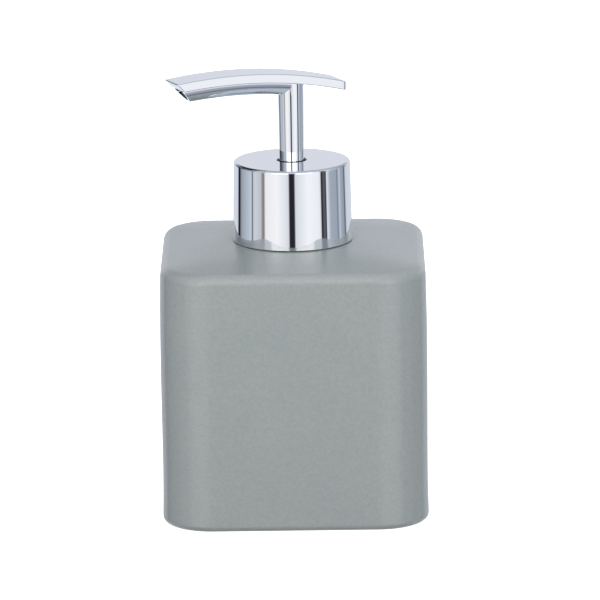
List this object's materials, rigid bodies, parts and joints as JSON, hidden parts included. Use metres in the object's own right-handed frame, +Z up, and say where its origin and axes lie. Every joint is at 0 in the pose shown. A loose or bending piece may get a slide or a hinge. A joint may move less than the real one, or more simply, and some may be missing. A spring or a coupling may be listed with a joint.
{
  "type": "soap dispenser",
  "caption": "Countertop soap dispenser: square matt ceramic container with rounded edges, and a chrome lift pump whose arched head turns and presses down.",
  "frame": {"origin": "centre of the foot, on the surface that the container stands on", "axes": "+Z up along the pump's axis, -Y towards the viewer, and the nozzle points to -X, turned 25 degrees towards -Y"},
  "size_m": [0.0856, 0.0856, 0.1431],
  "materials": {
    "stoneware": "matt grey glaze with a fine grain",
    "chrome": "bright mirror plate",
    "steel": "drawn stainless wire and ground balls",
    "white_plastic": "moulded polypropylene",
    "milky_plastic": "extruded and moulded polyethylene",
    "elastomer": "soft moulded seal"
  },
  "bodies": {
    "container_body": {"container": "stoneware", "neck_ring": "white_plastic"},
    "gasket": {"neck_gasket": "elastomer"},
    "pump_unit": {"pump_housing": "white_plastic", "guide_bush": "white_plastic", "stem_wiper": "elastomer", "ball_keeper": "white_plastic", "inlet_ball": "steel", "return_spring": "steel", "dip_tube": "milky_plastic"},
    "closure": {"screw_cap": "white_plastic", "collar_cover": "chrome"},
    "plunger": {"piston": "milky_plastic", "spring_follower": "white_plastic"},
    "head": {"piston_rod": "white_plastic", "spout_stem": "chrome", "head_bow": "chrome", "nozzle_liner": "milky_plastic", "discharge_ball": "steel"}
  },
  "joints": [
    {"name": "pump_lift", "type": "slide", "parent": "container_body", "child": "gasket", "axis": [0, 0, 1], "range_m": [0, 0.11]},
    {"name": "thread_rise", "type": "slide", "parent": "gasket", "child": "pump_unit", "axis": [0, 0, 1], "range_m": [0, 0.00635]},
    {"name": "closure_turn", "type": "hinge", "parent": "pump_unit", "child": "closure", "pos_m": [0, 0, 0.1], "axis": [0, 0, 1], "range_deg": [0, 540]},
    {"name": "press", "type": "slide", "parent": "pump_unit", "child": "plunger", "axis": [0, 0, -1], "range_m": [0, 0.015], "stiffness_N_per_m": 400, "springref_m": -0.01, "deforming": ["return_spring"]},
    {"name": "head_swivel", "type": "hinge", "parent": "plunger", "child": "head", "pos_m": [0, 0, 0.12], "axis": [0, 0, 1], "continuous": true}
  ],
  "couplings": [
    {"joint": "thread_rise", "follows": "closure_turn", "m_per_rad": 0.00067323}
  ]
}
